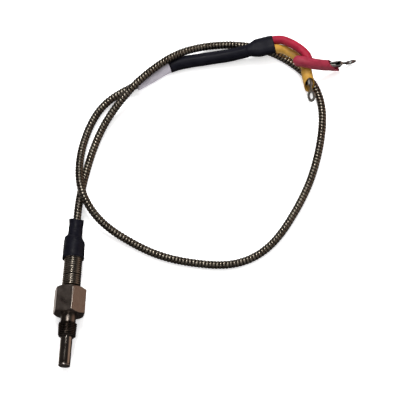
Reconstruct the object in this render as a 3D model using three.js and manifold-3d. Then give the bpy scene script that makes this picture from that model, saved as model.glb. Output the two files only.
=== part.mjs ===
// A threaded thermocouple with an armoured lead: a stainless probe in a hexagon fitting, a coil
// spring and a shrink boot as strain relief, a steel armour that lies in one loop, and a red and
// a yellow lead that each end in a ring terminal. Millimetres, +Z up. The probe lies along Y with
// its tip towards -Y, and the table is z = 0.
import * as THREE from 'three';
import Module from 'manifold-3d';
import { mergeVertices } from 'three/addons/utils/BufferGeometryUtils.js';

// ---- driving dimensions ----------------------------------------------------------------------
const CLEARANCE = 0.3;              // between pieces that touch on the real object

const SHEATH_DIAMETER = 6.35;       // quarter inch tube
const SHEATH_WALL = 0.9;
const ROD_EXPOSED = 16;             // bare tube in front of the thread
const SHEATH_PAST_HEX = 11;         // up to its rear end, inside the spring
const TIP_CAP_THICKNESS = 1.0;
const TIP_BEVEL = 0.35;
const TIP_SPIGOT_LENGTH = 1.2;      // the cap's plug inside the tube

const THREAD_FRONT_DIAMETER = 9.6;  // taper thread, crest to crest at its small end
const THREAD_REAR_DIAMETER = 10.1;
const THREAD_DEPTH = 0.7;
const THREAD_PITCH = 0.94;
const THREAD_CREST_WIDTH = 0.16;
const THREAD_LENGTH = 8;
const NECK_DIAMETER = 8.2;
const NECK_LENGTH = 4.3;

const HEX_ACROSS_FLATS = 15.875;
const HEX_LENGTH = 14.7;
const HEX_CHAMFER = 1.0;
const HEX_FACE_INSET = 0.3;         // the round end faces lie this far inside the flats
const HEX_ROLL = THREE.MathUtils.degToRad(17.3);   // how far the armour holds it turned

const SPRING_DIAMETER = 9.9;
const SPRING_WIRE = 1.1;
const SPRING_PITCH = 1.24;
const SPRING_EXPOSED = 16.7;
const SPRING_HIDDEN = 5;            // the stretch inside the boot

const BOOT_LENGTH = 23.1;
const BOOT_LARGE_DIAMETER = 11.9;
const BOOT_SMALL_DIAMETER = 7.7;
const BOOT_SHOULDER = 11;           // from its lower rim to the start of its shoulder

const FERRULE_FRONT_DIAMETER = 7.3; // the clamp between the sheath and the armour
const FERRULE_GAP = 0.2;            // between the clamp and the sheath
const FERRULE_REAR_DIAMETER = 6.2;
const FERRULE_ON_SHEATH = 3.5;
const FERRULE_ON_ARMOUR = 5;

const ARMOUR_DIAMETER = 4.4;
const ARMOUR_BORE = 3.4;
const CONDUCTOR_DIAMETER = 0.8;
const CONDUCTOR_OFFSET = 0.6;
const CABLE_ENTRY = 16;             // where the armour starts along Y, inside the boot

const WHITE_SLEEVE_DIAMETER = 7.0;
const BLACK_SLEEVE_DIAMETER = 7.4;
const SLEEVE_BORE = 5.4;
const BREAKOUT_WIDTH = 11.1;
const BREAKOUT_HEIGHT = 7.0;
const BREAKOUT_WALL = 0.35;
const BREAKOUT_SQUARENESS = 2.4;    // 2 would be a plain oval

const LEAD_DIAMETER = 4.9;
const LEAD_BORE = 3.4;
const LEAD_OFFSET = 2.57;           // of each lead from the middle of the breakout sleeve

const TERMINAL_SLEEVE_DIAMETER = 6.2;
const TERMINAL_SLEEVE_BORE = 5.4;
const RED_MOUTH_SLANT = 9;          // how far the mouth's open side is cut back
const YELLOW_MOUTH_SLANT = 7;
const BARREL_DIAMETER = 4.0;
const BARREL_BORE = 2.4;
const BARREL_LENGTH = 6.5;
const BARREL_FLOOR = 1.2;           // the barrel's bore ends this far before the ring's tongue
const TONGUE_WIDTH = 3.0;
const RING_DIAMETER = 6.6;
const RING_HOLE = 3.7;              // clears a 3.5 mm screw
const RING_THICKNESS = 0.8;
const RING_REACH = 6.2;             // from the barrel's front end to the middle of the hole

// Lengths along the cable's route, from its start inside the boot.
const WHITE_SLEEVE_START = 535.5;
const BLACK_SLEEVE_START = 557;
const BREAKOUT_START = 602;
const ARMOUR_END = 605;
const LEAD_START = 609;             // the two conductors spread apart before it

const ROUND_SIDES = 24;
const PROBE_LENGTH = ROD_EXPOSED + THREAD_LENGTH + NECK_LENGTH + HEX_LENGTH + SPRING_EXPOSED + BOOT_LENGTH;
const HEX_CORNER = HEX_ACROSS_FLATS / Math.sqrt(3);
const AXIS_HEIGHT = HEX_CORNER * Math.cos(Math.PI / 6 - HEX_ROLL);

// Places along the probe, from the tip.
const THREAD_START = ROD_EXPOSED;
const NECK_START = THREAD_START + THREAD_LENGTH;
const HEX_START = NECK_START + NECK_LENGTH;
const HEX_END = HEX_START + HEX_LENGTH;
const BOOT_START = HEX_END + SPRING_EXPOSED;
const SHEATH_END = HEX_END + SHEATH_PAST_HEX;
const CABLE_START = CABLE_ENTRY + PROBE_LENGTH / 2;

// ---- routes ------------------------------------------------------------------------------------
// The armour's route: through the boot, down to the table, once round the loop, over and under
// itself, and up over its own first turn to the breakout sleeve.
const CABLE_POINTS = [
  [0, CABLE_ENTRY, AXIS_HEIGHT], [0, 31, AXIS_HEIGHT], [0, 46, AXIS_HEIGHT], [0.1, 53.5, 6],
  [0.5, 61, 3], [2, 72, 2.25], [4.9, 86.8, 2.25], [9.8, 101.2, 3.4],
  [17.9, 113.2, 8], [26.2, 124.1, 10.1], [35.5, 133.7, 9.9], [45.7, 142.5, 9.5],
  [57.1, 149.2, 5.9], [71.5, 154, 2.5], [90, 154.5, 2.25], [107.2, 148.5, 2.25],
  [121.8, 138, 2.25], [129.3, 124.8, 2.25], [131.1, 110, 2.25], [129.4, 92, 2.25],
  [125.3, 72.7, 2.25], [116.8, 52.9, 2.25], [105.6, 33.2, 2.25], [88, 22, 2.25],
  [67, 22, 2.25], [46.2, 24.7, 2.25], [28, 32.7, 3], [11.6, 41.4, 7],
  [1.4, 55.2, 10.2], [-1.7, 69.2, 8.2], [-1.7, 84, 3.6], [1.1, 98, 2.25],
  [7, 112, 2.4], [18, 121, 3.5], [31.2, 128.4, 3.7], [43.8, 139.4, 3.8],
  [62, 143.4, 3.8], [80, 146.3, 6], [91.3, 149.7, 8.9], [101.3, 152.6, 9.3],
];

// Each lead's route after the breakout sleeve, up to its end at the terminal.
const RED_POINTS = [
  [105.2, 155.1, 11.3], [109.8, 153, 12], [114.2, 150.2, 13.1], [118, 146.9, 13.9], [120.2, 144.3, 13.9],
  [120.9, 142.3, 13.6],
];
const YELLOW_POINTS = [
  [105.4, 150.8, 8.4], [109.8, 149.5, 7.2], [114.4, 146.6, 7.2], [118.2, 143.2, 7.4], [120.4, 137.4, 7.9],
];

// Each terminal sleeve's route, from its lead towards its ring.
const RED_SLEEVE_POINTS = [
  [115.4, 140.9, 13.9], [119.6, 140.4, 13.9], [124, 140.2, 12.6], [130.4, 141.5, 8.6], [139.5, 143.7, 5.1],
];
const YELLOW_SLEEVE_POINTS = [
  [120.2, 138.2, 7.9], [121, 134.4, 8.1], [122, 130.6, 7.1], [123.2, 126.6, 5.6],
];

const UP = new THREE.Vector3(0, 0, 1);

const vectors = (points) => points.map((p) => new THREE.Vector3(...p));

function sideways(tangent) {
  return new THREE.Vector3().crossVectors(tangent, UP).normalize();
}

// A curve whose cross-section stays upright as it goes: x of the section points up, and y
// points to the right of the way the curve runs.
class UprightCurve extends THREE.Curve {
  computeFrenetFrames(steps) {
    const frames = { tangents: [], normals: [], binormals: [] };
    for (let i = 0; i <= steps; i++) {
      const tangent = this.getTangentAt(i / steps);
      const side = sideways(tangent);
      frames.tangents.push(tangent);
      frames.binormals.push(side);
      frames.normals.push(new THREE.Vector3().crossVectors(side, tangent));
    }
    return frames;
  }
}

// A uniform cubic B-spline that starts at its first point and ends at its last.
class Route extends UprightCurve {
  constructor(points) {
    super();
    const first = points[0].clone().multiplyScalar(2).sub(points[1]);
    const last = points.at(-1).clone().multiplyScalar(2).sub(points.at(-2));
    this.points = [first, ...points, last];
    this.arcLengthDivisions = 40 * points.length;
  }

  getPoint(t, target = new THREE.Vector3()) {
    const spans = this.points.length - 3;
    const place = THREE.MathUtils.clamp(t, 0, 1) * spans;
    const span = Math.min(Math.floor(place), spans - 1);
    const x = place - span;
    const weights = [
      (1 - x) ** 3, 3 * x ** 3 - 6 * x ** 2 + 4, -3 * x ** 3 + 3 * x ** 2 + 3 * x + 1, x ** 3,
    ];
    target.set(0, 0, 0);
    weights.forEach((weight, i) => target.addScaledVector(this.points[span + i], weight / 6));
    return target;
  }
}

// The stretch of another curve between two lengths along it.
class Stretch extends UprightCurve {
  constructor(curve, from, to) {
    super();
    this.curve = curve;
    this.from = from / curve.getLength();
    this.to = to / curve.getLength();
  }

  getPoint(t, target = new THREE.Vector3()) {
    return this.curve.getPointAt(THREE.MathUtils.lerp(this.from, this.to, t), target);
  }
}

// The point beside a curve, at a length along it.
function beside(curve, length, offset) {
  const u = length / curve.getLength();
  return curve.getPointAt(u).addScaledVector(sideways(curve.getTangentAt(u)), offset);
}

const cable = new Route(vectors(CABLE_POINTS));
const CABLE_LENGTH = cable.getLength();

// A lead starts just past the armour's end, runs out of the breakout sleeve beside the other
// lead, and follows its own points.
function leadRoute(points, offset) {
  const inSleeve = [LEAD_START, LEAD_START + 4, CABLE_LENGTH - 1];
  return new Route([...inSleeve.map((length) => beside(cable, length, offset)), ...vectors(points)]);
}

const redLead = leadRoute(RED_POINTS, -LEAD_OFFSET);
const yellowLead = leadRoute(YELLOW_POINTS, LEAD_OFFSET);
const redSleeve = new Route(vectors(RED_SLEEVE_POINTS));
const yellowSleeve = new Route(vectors(YELLOW_SLEEVE_POINTS));

// ---- shapes --------------------------------------------------------------------------------------
const wasm = await Module();
wasm.setup();

function solid(geometry) {
  const bare = geometry.clone();
  bare.deleteAttribute('normal');
  bare.deleteAttribute('uv');
  const merged = mergeVertices(bare, 1e-5);
  return new wasm.Manifold(new wasm.Mesh({
    numProp: 3,
    vertProperties: new Float32Array(merged.attributes.position.array),
    triVerts: new Uint32Array(merged.index.array),
  }));
}

function geometryOf(manifold) {
  const mesh = manifold.getMesh();
  const geometry = new THREE.BufferGeometry();
  geometry.setAttribute('position', new THREE.BufferAttribute(new Float32Array(mesh.vertProperties), 3));
  geometry.setIndex(new THREE.BufferAttribute(new Uint32Array(mesh.triVerts), 1));
  geometry.computeVertexNormals();
  return geometry;
}

// The points of an oval. With a squareness above 2 its corners are fuller.
function oval(height, width, sides, squareness = 2) {
  const points = [];
  const fuller = (value) => Math.sign(value) * Math.abs(value) ** (2 / squareness);
  for (let i = 0; i < sides; i++) {
    const angle = (2 * Math.PI * i) / sides;
    points.push(new THREE.Vector2(
      (height / 2) * fuller(Math.cos(angle)), (width / 2) * fuller(Math.sin(angle)),
    ));
  }
  return points;
}

// A tube or, with no bore, a rod of an oval section along a curve.
function ovalTube(curve, size, bore, sides, steps, squareness) {
  const shape = new THREE.Shape(oval(size[0], size[1], sides, squareness));
  if (bore) {
    shape.holes.push(new THREE.Path(oval(bore[0], bore[1], sides, squareness)));
  }
  return new THREE.ExtrudeGeometry(shape, { steps, extrudePath: curve });
}

function tube(curve, diameter, bore, sides, steps) {
  return ovalTube(curve, [diameter, diameter], bore ? [bore, bore] : null, sides, steps);
}

// A round piece about the probe's axis. The profile is [radius, place from the tip], and it
// closes on itself.
function turned(profile, sides = ROUND_SIDES) {
  const points = profile.map(([radius, place]) => new THREE.Vector2(radius, place));
  points.push(points[0].clone());
  return new THREE.LatheGeometry(points, sides);
}

// A round piece with no bore, whose profile starts and ends on the axis.
function turnedSolid(profile, sides = ROUND_SIDES) {
  return new THREE.LatheGeometry(profile.map(([radius, place]) => new THREE.Vector2(radius, place)), sides);
}

function rodAlongY(radius, from, to, x = 0, sides = 10) {
  const rod = new THREE.CylinderGeometry(radius, radius, to - from, sides);
  rod.translate(x, (from + to) / 2, 0);
  return rod;
}

// ---- the probe ------------------------------------------------------------------------------------
const SHEATH_RADIUS = SHEATH_DIAMETER / 2;
const SHEATH_BORE_RADIUS = SHEATH_RADIUS - SHEATH_WALL;
const FITTING_BORE_RADIUS = SHEATH_RADIUS + CLEARANCE;
const WIRE_OFFSET = 0.9;
const WIRE_RADIUS = 0.25;
const WIRE_HOLE_RADIUS = 0.5;
const BEAD_PLACE = 4.2;
const BEAD_RADIUS = 0.9;
const INSULATOR_START = 6;
const INSULATOR_END = SHEATH_END - 4;

function tipCap() {
  const spigot = SHEATH_BORE_RADIUS - CLEARANCE;
  const plugEnd = TIP_CAP_THICKNESS + TIP_SPIGOT_LENGTH;
  return turnedSolid([
    [0, 0], [SHEATH_RADIUS - TIP_BEVEL, 0], [SHEATH_RADIUS, TIP_BEVEL], [SHEATH_RADIUS, TIP_CAP_THICKNESS],
    [spigot, TIP_CAP_THICKNESS], [spigot, plugEnd], [0, plugEnd],
  ]);
}

function sheathTube() {
  const start = TIP_CAP_THICKNESS + CLEARANCE;
  return turned([
    [SHEATH_RADIUS, start], [SHEATH_RADIUS, SHEATH_END],
    [SHEATH_BORE_RADIUS, SHEATH_END], [SHEATH_BORE_RADIUS, start],
  ]);
}

// A rod that fills the sheath, with the two wires' holes through it.
function twinBoreRod(from, to) {
  let rod = solid(rodAlongY(SHEATH_BORE_RADIUS - CLEARANCE, from, to, 0, 20));
  for (const x of [-WIRE_OFFSET, WIRE_OFFSET]) {
    rod = rod.subtract(solid(rodAlongY(WIRE_HOLE_RADIUS, from - 1, to + 1, x)));
  }
  return geometryOf(rod);
}

function junctionBead() {
  const bead = new THREE.SphereGeometry(BEAD_RADIUS, 14, 10);
  bead.translate(0, BEAD_PLACE, 0);
  return bead;
}

function thermoelement(x) {
  return rodAlongY(WIRE_RADIUS, BEAD_PLACE + BEAD_RADIUS + CLEARANCE, CABLE_START - CLEARANCE, x, 8);
}

// The outline of the thread: a ridge at every pitch, on the taper, with a bevel at the front.
function threadProfile() {
  const ridges = Math.floor(THREAD_LENGTH / THREAD_PITCH);
  const profile = [[THREAD_FRONT_DIAMETER / 2 - THREAD_DEPTH, THREAD_START]];
  for (let i = 0; i < ridges; i++) {
    const place = THREAD_START + (i + 0.5) * THREAD_PITCH;
    const share = i / (ridges - 1);
    const crest = THREE.MathUtils.lerp(THREAD_FRONT_DIAMETER, THREAD_REAR_DIAMETER, share) / 2;
    profile.push([crest, place - THREAD_CREST_WIDTH / 2], [crest, place + THREAD_CREST_WIDTH / 2]);
    profile.push([crest - THREAD_DEPTH, place + THREAD_PITCH / 2]);
  }
  return profile;
}

// The hexagon, with its corners bevelled at both ends by a turned blank.
function hexagon() {
  const prism = new THREE.CylinderGeometry(HEX_CORNER, HEX_CORNER, HEX_LENGTH, 6);
  prism.rotateY(Math.PI / 6 - HEX_ROLL);
  prism.translate(0, (HEX_START + HEX_END) / 2, 0);
  const rim = HEX_ACROSS_FLATS / 2 - HEX_FACE_INSET;
  const outside = HEX_CORNER + CLEARANCE;
  const slope = HEX_CHAMFER * (outside - rim) / (HEX_CORNER - rim);
  const blank = turnedSolid([
    [0, HEX_START], [rim, HEX_START], [outside, HEX_START + slope],
    [outside, HEX_END - slope], [rim, HEX_END], [0, HEX_END],
  ], 36);
  return solid(prism).intersect(solid(blank));
}

function threadedFitting() {
  const neck = NECK_DIAMETER / 2;
  const core = turnedSolid([
    [0, THREAD_START], ...threadProfile(),
    [neck, NECK_START + 0.3], [neck, HEX_START + 1], [0, HEX_START + 1],
  ]);
  const bore = solid(rodAlongY(FITTING_BORE_RADIUS, THREAD_START - 1, HEX_END + 1, 0, ROUND_SIDES));
  return geometryOf(hexagon().add(solid(core)).subtract(bore));
}

function brazeRing() {
  const inner = SHEATH_RADIUS + CLEARANCE;
  const start = HEX_END + CLEARANCE;
  return turned([[inner, start], [inner + 0.4, start], [inner, start + 0.8]]);
}

// The clamp on the sheath's rear end that holds the armour.
function crimpFerrule() {
  const front = SHEATH_END - FERRULE_ON_SHEATH;
  const step = SHEATH_END + 1;
  const end = CABLE_START + FERRULE_ON_ARMOUR;
  const frontRadius = FERRULE_FRONT_DIAMETER / 2;
  const rearRadius = FERRULE_REAR_DIAMETER / 2;
  const sheathBore = SHEATH_RADIUS + FERRULE_GAP;
  const armourBore = ARMOUR_DIAMETER / 2 + CLEARANCE;
  return turned([
    [sheathBore, front], [frontRadius, front], [frontRadius, step], [rearRadius, step + 1.5],
    [rearRadius, end], [armourBore, end], [armourBore, step], [sheathBore, step],
  ]);
}

class Helix extends THREE.Curve {
  constructor(radius, start, pitch, turns) {
    super();
    Object.assign(this, { radius, start, pitch, turns });
  }

  getPoint(t, target = new THREE.Vector3()) {
    const angle = 2 * Math.PI * this.turns * t;
    const along = this.start + this.pitch * this.turns * t;
    return target.set(this.radius * Math.cos(angle), along, this.radius * Math.sin(angle));
  }

  // The wire's section keeps one side away from the axis.
  computeFrenetFrames(steps) {
    const frames = { tangents: [], normals: [], binormals: [] };
    for (let i = 0; i <= steps; i++) {
      const tangent = this.getTangentAt(i / steps);
      const angle = (2 * Math.PI * this.turns * i) / steps;
      const outward = new THREE.Vector3(Math.cos(angle), 0, Math.sin(angle));
      frames.tangents.push(tangent);
      frames.normals.push(outward);
      frames.binormals.push(new THREE.Vector3().crossVectors(tangent, outward));
    }
    return frames;
  }
}

function strainReliefSpring() {
  const start = HEX_END + CLEARANCE + SPRING_WIRE / 2;
  const end = HEX_END + SPRING_EXPOSED + SPRING_HIDDEN - SPRING_WIRE / 2;
  const turns = (end - start) / SPRING_PITCH;
  const helix = new Helix((SPRING_DIAMETER - SPRING_WIRE) / 2, start, SPRING_PITCH, turns);
  const wire = new THREE.Shape(oval(SPRING_WIRE, SPRING_WIRE, 5));
  return new THREE.ExtrudeGeometry(wire, { steps: Math.round(turns * 10), extrudePath: helix });
}

function shrinkBoot() {
  const large = BOOT_LARGE_DIAMETER / 2;
  const small = BOOT_SMALL_DIAMETER / 2;
  const springBore = SPRING_DIAMETER / 2 + CLEARANCE;
  const armourBore = ARMOUR_DIAMETER / 2 + CLEARANCE;
  const shoulder = BOOT_START + BOOT_SHOULDER;
  return turned([
    [large, BOOT_START], [large - 0.1, shoulder - 1], [large - 0.6, shoulder],
    [small + 0.3, shoulder + 1.8], [small, shoulder + 3], [small, PROBE_LENGTH - 1.2],
    [small + 0.1, PROBE_LENGTH], [armourBore, PROBE_LENGTH], [armourBore, shoulder + 2],
    [springBore, shoulder - 1], [springBore, BOOT_START],
  ]);
}

// ---- the cable and its leads -----------------------------------------------------------------------
// A conductor runs through the armour, through its lead's bore, and into its terminal's barrel.
function conductorCurve(lead, offset, barrelPoints) {
  const points = [];
  const stops = 64;
  for (let i = 0; i <= stops; i++) {
    points.push(beside(cable, CLEARANCE + (i / stops) * ARMOUR_END, offset));
  }
  points.push(beside(cable, LEAD_START - 0.6, 3 * offset));
  for (const share of [0.06, 0.2, 0.35, 0.5, 0.65, 0.8, 0.92]) {
    points.push(lead.getPointAt(share));
  }
  const curve = new THREE.CatmullRomCurve3([...points, ...barrelPoints]);
  curve.arcLengthDivisions = 1600;
  curve.computeFrenetFrames = UprightCurve.prototype.computeFrenetFrames;
  return curve;
}

function conductor(lead, offset, barrelPoints) {
  return tube(conductorCurve(lead, offset, barrelPoints), CONDUCTOR_DIAMETER, null, 5, 84);
}

// ---- the terminals ----------------------------------------------------------------------------------
// A ring terminal in its own frame: the barrel runs along X from 0, and the ring lies in XY.
function ringTerminal() {
  const barrel = new THREE.CylinderGeometry(BARREL_DIAMETER / 2, BARREL_DIAMETER / 2, BARREL_LENGTH, 20);
  barrel.rotateZ(-Math.PI / 2);
  barrel.translate(BARREL_LENGTH / 2, 0, 0);
  const bore = new THREE.CylinderGeometry(BARREL_BORE / 2, BARREL_BORE / 2, BARREL_LENGTH, 16);
  bore.rotateZ(-Math.PI / 2);
  bore.translate(BARREL_LENGTH / 2 - BARREL_FLOOR, 0, 0);
  const middle = BARREL_LENGTH + RING_REACH;
  const ring = new THREE.CylinderGeometry(RING_DIAMETER / 2, RING_DIAMETER / 2, RING_THICKNESS, 32);
  ring.rotateX(Math.PI / 2);
  ring.translate(middle, 0, 0);
  const hole = new THREE.CylinderGeometry(RING_HOLE / 2, RING_HOLE / 2, 3 * RING_THICKNESS, 24);
  hole.rotateX(Math.PI / 2);
  hole.translate(middle, 0, 0);
  const tongue = new THREE.BoxGeometry(RING_REACH, TONGUE_WIDTH, RING_THICKNESS);
  tongue.translate(BARREL_LENGTH + RING_REACH / 2 - 1, 0, 0);
  return geometryOf(
    solid(barrel).subtract(solid(bore)).add(solid(tongue)).add(solid(ring)).subtract(solid(hole)),
  );
}

// Where a terminal sits: its barrel starts at a length along its sleeve, points at a target,
// and is rolled about its own axis.
function placement(start, target, roll) {
  const forward = new THREE.Vector3().subVectors(target, start).normalize();
  const side = sideways(forward).negate();
  const up = new THREE.Vector3().crossVectors(forward, side);
  const rolled = new THREE.Matrix4().makeRotationX(roll);
  return new THREE.Matrix4().makeBasis(forward, side, up).setPosition(start).multiply(rolled);
}

const RED_BARREL = new THREE.Vector3(133.2, 142.5, 7.0);
const RED_RING = new THREE.Vector3(145.1, 146.8, 3.8);
const RED_ROLL = THREE.MathUtils.degToRad(101);
const RED_MOUTH_SIDE = new THREE.Vector3(0, 0.3, 0.95);
const YELLOW_BARREL = new THREE.Vector3(121, 136.2, 8);
const YELLOW_RING = new THREE.Vector3(123.7, 124.4, 4.7);
const YELLOW_ROLL = THREE.MathUtils.degToRad(60);
const YELLOW_MOUTH_SIDE = new THREE.Vector3(0.25, -0.25, 0.93);

const redPlace = placement(RED_BARREL, RED_RING, RED_ROLL);
const yellowPlace = placement(YELLOW_BARREL, YELLOW_RING, YELLOW_ROLL);

function inBarrel(place, depth) {
  return new THREE.Vector3(depth, 0, 0).applyMatrix4(place);
}

// A sleeve's mouth is cut on a slant, so that its barrel shows from one side.
function slantedMouth(sleeve, route, side, slant) {
  const forward = route.getTangentAt(1);
  const open = side.clone().addScaledVector(forward, -side.dot(forward)).normalize();
  const lip = route.getPointAt(1).addScaledVector(open, -TERMINAL_SLEEVE_DIAMETER / 2);
  const kept = forward.clone().multiplyScalar(-TERMINAL_SLEEVE_DIAMETER).addScaledVector(open, -slant);
  kept.normalize();
  return sleeve.trimByPlane(kept.toArray(), kept.dot(lip));
}

// The yellow terminal's sleeve is open at both ends, and the lead goes into it.
function yellowTerminalSleeve() {
  const sleeve = tube(yellowSleeve, TERMINAL_SLEEVE_DIAMETER, TERMINAL_SLEEVE_BORE, 14, 5);
  return geometryOf(slantedMouth(solid(sleeve), yellowSleeve, YELLOW_MOUTH_SIDE, YELLOW_MOUTH_SLANT));
}

// A short rod that runs both ways from a point, to cut a hole with.
function drill(radius, middle, way, length) {
  const rod = new THREE.CylinderGeometry(radius, radius, length, 14);
  rod.applyQuaternion(new THREE.Quaternion().setFromUnitVectors(new THREE.Vector3(0, 1, 0), way));
  rod.translate(middle.x, middle.y, middle.z);
  return solid(rod);
}

// The red one is closed by a dome at its rear, and the lead comes in from its side.
function redTerminalSleeve() {
  const rearWall = 1.5;
  const entryRadius = LEAD_DIAMETER / 2 + CLEARANCE;
  const entryLength = 8;
  const rear = redSleeve.getPointAt(0);
  const dome = new THREE.SphereGeometry(TERMINAL_SLEEVE_DIAMETER / 2 - 0.02, 14, 8);
  dome.translate(rear.x, rear.y, rear.z);
  const inside = new Stretch(redSleeve, rearWall, redSleeve.getLength());
  const mouth = drill(TERMINAL_SLEEVE_BORE / 2, redSleeve.getPointAt(1), redSleeve.getTangentAt(1), 1);
  const leadWay = redLead.getTangentAt(1);
  const entryMiddle = redLead.getPointAt(1).addScaledVector(leadWay, CLEARANCE - entryLength / 2);
  const entry = drill(entryRadius, entryMiddle, leadWay, entryLength);
  const sleeve = solid(tube(redSleeve, TERMINAL_SLEEVE_DIAMETER, null, 14, 7)).add(solid(dome))
    .subtract(solid(tube(inside, TERMINAL_SLEEVE_BORE, null, 14, 7)))
    .subtract(mouth).subtract(entry);
  return geometryOf(slantedMouth(sleeve, redSleeve, RED_MOUTH_SIDE, RED_MOUTH_SLANT));
}

// ---- materials ---------------------------------------------------------------------------------------
function material(color, roughness, metalness) {
  return new THREE.MeshStandardMaterial({ color, roughness, metalness });
}

const finishes = {
  steel: () => material(0x9c958c, 0.28, 1),
  fitting: () => material(0x8a8078, 0.38, 1),
  armour: () => material(0x6b6454, 0.35, 1),
  tin: () => material(0xc9c7c2, 0.25, 1),
  braze: () => material(0xa8905a, 0.45, 1),
  ceramic: () => material(0xe6e1d6, 0.7, 0),
  cement: () => material(0xcfc7b4, 0.9, 0),
  nickelAlloy: () => material(0x8f8b82, 0.4, 1),
  blackRubber: () => material(0x14141a, 0.5, 0),
  whiteSleeve: () => material(0xcdc8d2, 0.6, 0),
  glassFibre: () => material(0xd1ccc2, 0.9, 0),
  red: () => material(0xa01e37, 0.45, 0),
  darkRed: () => material(0x9b2d41, 0.5, 0),
  yellow: () => material(0xbe913c, 0.5, 0),
};

// ---- assembly ------------------------------------------------------------------------------------------
function named(name, geometry, finish) {
  const mesh = new THREE.Mesh(geometry, finishes[finish]());
  mesh.name = name;
  return mesh;
}

const thermocouple = new THREE.Group();

const probe = new THREE.Group();
probe.position.set(0, -PROBE_LENGTH / 2, AXIS_HEIGHT);
probe.add(
  named('tip_cap', tipCap(), 'steel'),
  named('sheath_tube', sheathTube(), 'steel'),
  named('junction_bead', junctionBead(), 'nickelAlloy'),
  named('ceramic_insulator', twinBoreRod(INSULATOR_START, INSULATOR_END), 'ceramic'),
  named('end_cement', twinBoreRod(INSULATOR_END + CLEARANCE, SHEATH_END - CLEARANCE), 'cement'),
  named('positive_thermoelement', thermoelement(-WIRE_OFFSET), 'nickelAlloy'),
  named('negative_thermoelement', thermoelement(WIRE_OFFSET), 'nickelAlloy'),
  named('threaded_fitting', threadedFitting(), 'fitting'),
  named('braze_ring', brazeRing(), 'braze'),
  named('crimp_ferrule', crimpFerrule(), 'steel'),
  named('strain_relief_spring', strainReliefSpring(), 'steel'),
  named('shrink_boot', shrinkBoot(), 'blackRubber'),
);
thermocouple.add(probe);

const armour = new Stretch(cable, 0, ARMOUR_END);
const whiteSleeve = new Stretch(cable, WHITE_SLEEVE_START, BLACK_SLEEVE_START - CLEARANCE);
const blackSleeve = new Stretch(cable, BLACK_SLEEVE_START, BREAKOUT_START - CLEARANCE);
const breakout = new Stretch(cable, BREAKOUT_START, CABLE_LENGTH);
const breakoutSize = [BREAKOUT_HEIGHT, BREAKOUT_WIDTH];
const breakoutBore = breakoutSize.map((size) => size - 2 * BREAKOUT_WALL);
const breakoutTube = ovalTube(breakout, breakoutSize, breakoutBore, 20, 5, BREAKOUT_SQUARENESS);

thermocouple.add(
  named('cable_armour', tube(armour, ARMOUR_DIAMETER, ARMOUR_BORE, 8, 68), 'armour'),
  named('white_sleeve', tube(whiteSleeve, WHITE_SLEEVE_DIAMETER, SLEEVE_BORE, 14, 5), 'whiteSleeve'),
  named('black_sleeve', tube(blackSleeve, BLACK_SLEEVE_DIAMETER, SLEEVE_BORE, 14, 8), 'blackRubber'),
  named('breakout_sleeve', breakoutTube, 'blackRubber'),
  named('red_lead', tube(redLead, LEAD_DIAMETER, LEAD_BORE, 8, 12), 'red'),
  named('yellow_lead', tube(yellowLead, LEAD_DIAMETER, LEAD_BORE, 8, 12), 'yellow'),
  named('red_terminal_sleeve', redTerminalSleeve(), 'darkRed'),
  named('yellow_terminal_sleeve', yellowTerminalSleeve(), 'yellow'),
);

const redTerminal = named('red_ring_terminal', ringTerminal(), 'tin');
redTerminal.applyMatrix4(redPlace);
const yellowTerminal = named('yellow_ring_terminal', ringTerminal(), 'tin');
yellowTerminal.applyMatrix4(yellowPlace);
thermocouple.add(redTerminal, yellowTerminal);

const toRedBarrel = [
  ...vectors([[122.2, 141.4, 13.2], [123.4, 140.6, 12.6], [125.6, 140.7, 11.4], [128.6, 141.2, 9.6]]),
  inBarrel(redPlace, -0.5), inBarrel(redPlace, 3.5),
];
const toYellowBarrel = [
  yellowSleeve.getPointAt(0.4), inBarrel(yellowPlace, -0.8), inBarrel(yellowPlace, 3.5),
];
thermocouple.add(
  named('negative_conductor', conductor(redLead, -CONDUCTOR_OFFSET, toRedBarrel), 'glassFibre'),
  named('positive_conductor', conductor(yellowLead, CONDUCTOR_OFFSET, toYellowBarrel), 'glassFibre'),
);

export default thermocouple;
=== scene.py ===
import math

import bpy
import numpy as np
from mathutils import Matrix, Vector, noise


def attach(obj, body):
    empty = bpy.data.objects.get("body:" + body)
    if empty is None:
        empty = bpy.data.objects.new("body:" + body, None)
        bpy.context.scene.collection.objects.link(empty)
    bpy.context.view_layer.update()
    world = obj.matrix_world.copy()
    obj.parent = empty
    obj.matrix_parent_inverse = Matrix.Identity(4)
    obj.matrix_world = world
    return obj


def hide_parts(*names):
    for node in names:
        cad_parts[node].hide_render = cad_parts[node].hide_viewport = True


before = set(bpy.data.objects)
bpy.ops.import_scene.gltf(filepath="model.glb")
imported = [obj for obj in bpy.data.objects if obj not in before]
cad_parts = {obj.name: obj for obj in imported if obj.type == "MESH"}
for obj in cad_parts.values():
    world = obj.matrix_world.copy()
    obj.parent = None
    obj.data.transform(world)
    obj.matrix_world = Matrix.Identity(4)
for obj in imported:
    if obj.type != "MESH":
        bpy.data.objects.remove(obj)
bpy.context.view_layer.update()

MM = 0.001
UP = np.array([0.0, 0.0, 1.0])

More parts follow.
